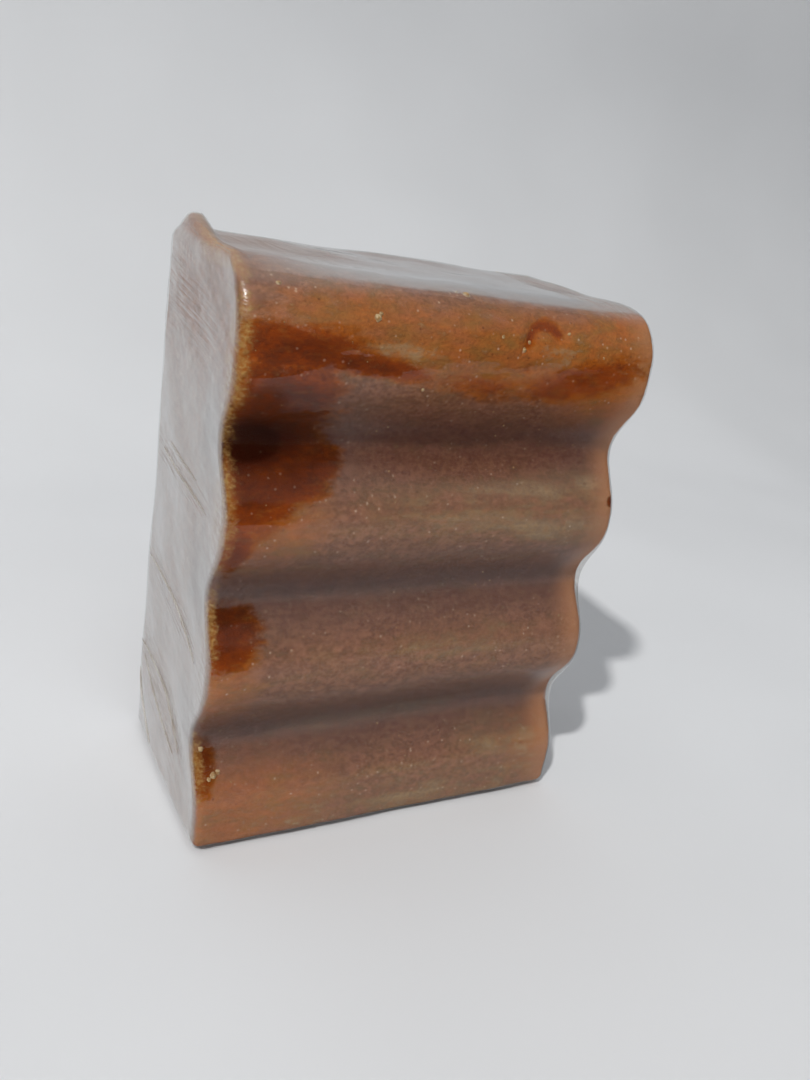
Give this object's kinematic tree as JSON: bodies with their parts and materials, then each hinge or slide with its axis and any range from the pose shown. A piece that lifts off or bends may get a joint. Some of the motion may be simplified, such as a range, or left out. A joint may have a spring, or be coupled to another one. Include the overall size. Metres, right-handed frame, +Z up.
{
  "type": "jaggery block",
  "caption": "Upright block of cane jaggery with rounded lobes moulded across its front, sealed in clear clinging film.",
  "frame": {"origin": "middle of the base that the block stands on", "axes": "+Z up along the block's length; the lobed front faces -Y; +X runs along the lobes, to the right as the front is seen"},
  "size_m": [0.0824, 0.046, 0.1096],
  "materials": {
    "jaggery": "glossy amber-brown cast sugar, seen through clear film",
    "clear_film": "thin clear shrink film, smooth and glossy, finely creased at the ends"
  },
  "bodies": {
    "root": {"jaggery_block": "jaggery"}
  },
  "joints": []
}
